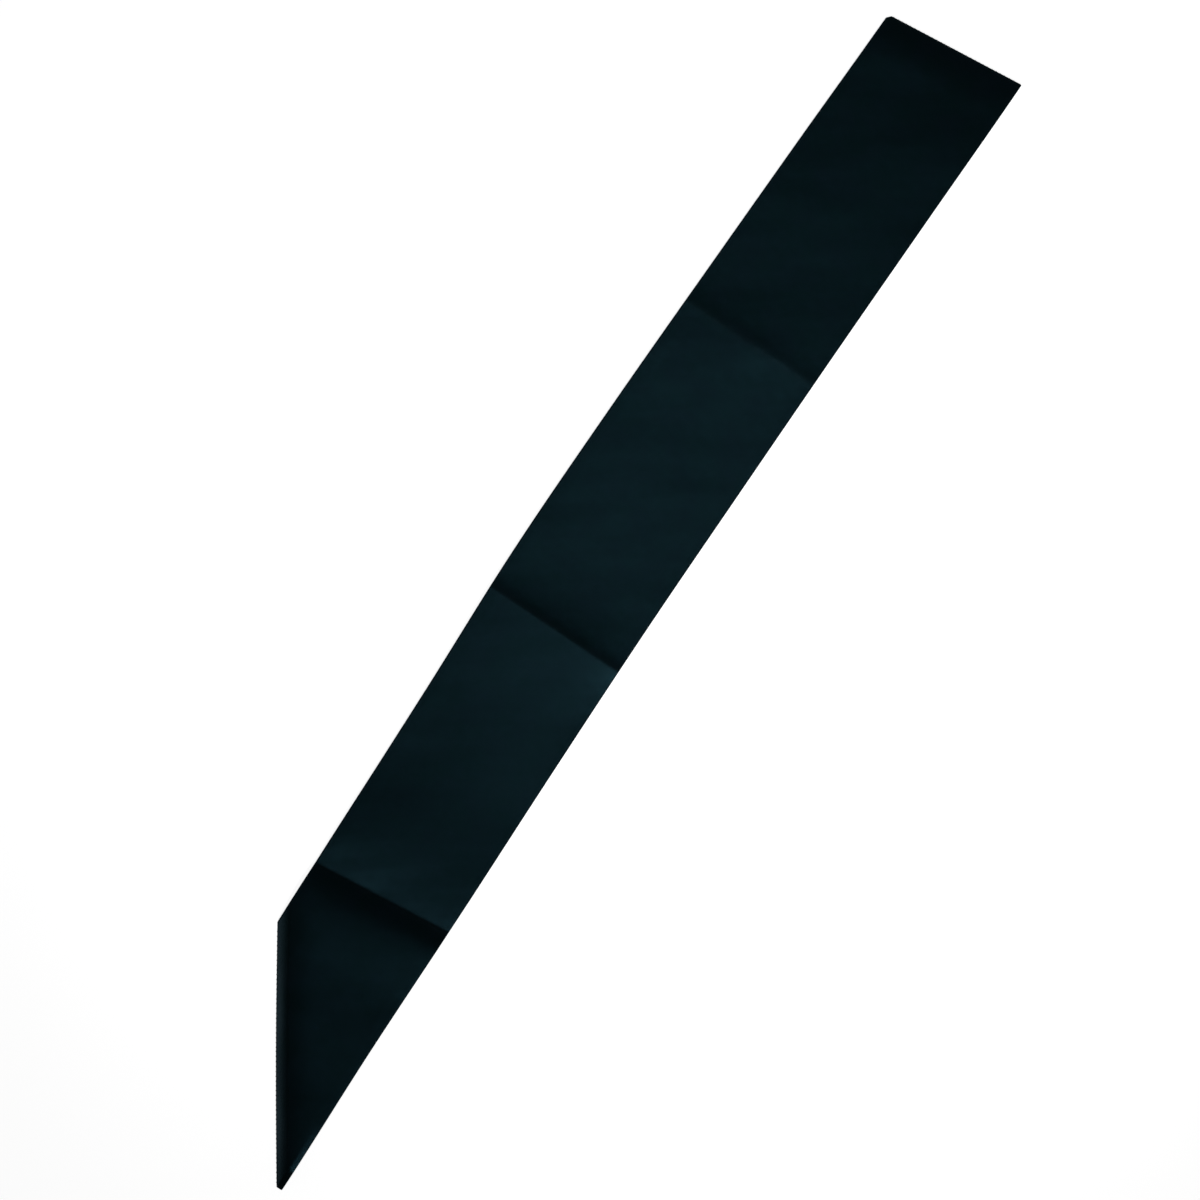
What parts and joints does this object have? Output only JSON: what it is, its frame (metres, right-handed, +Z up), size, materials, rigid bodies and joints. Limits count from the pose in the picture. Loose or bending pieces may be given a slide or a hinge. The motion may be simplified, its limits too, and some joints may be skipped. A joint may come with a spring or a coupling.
{
  "type": "masonic sash",
  "caption": "Black satin shoulder sash, a closed loop of two lined panels laid flat, with a square shoulder end, storage folds and a slanting seam to a hip point.",
  "frame": {"origin": "middle of the sash's outline box, on the surface that the sash lies on", "axes": "+X along the band from the hip point to the shoulder seam, +Y towards the neck-side edge, +Z up from the surface"},
  "size_m": [0.883, 0.1088, 0.0117],
  "materials": {
    "satin": "black satin weave with a soft sheen and a blue-green cast"
  },
  "bodies": {
    "root": {"front_panel": "satin", "back_panel": "satin"}
  },
  "joints": []
}
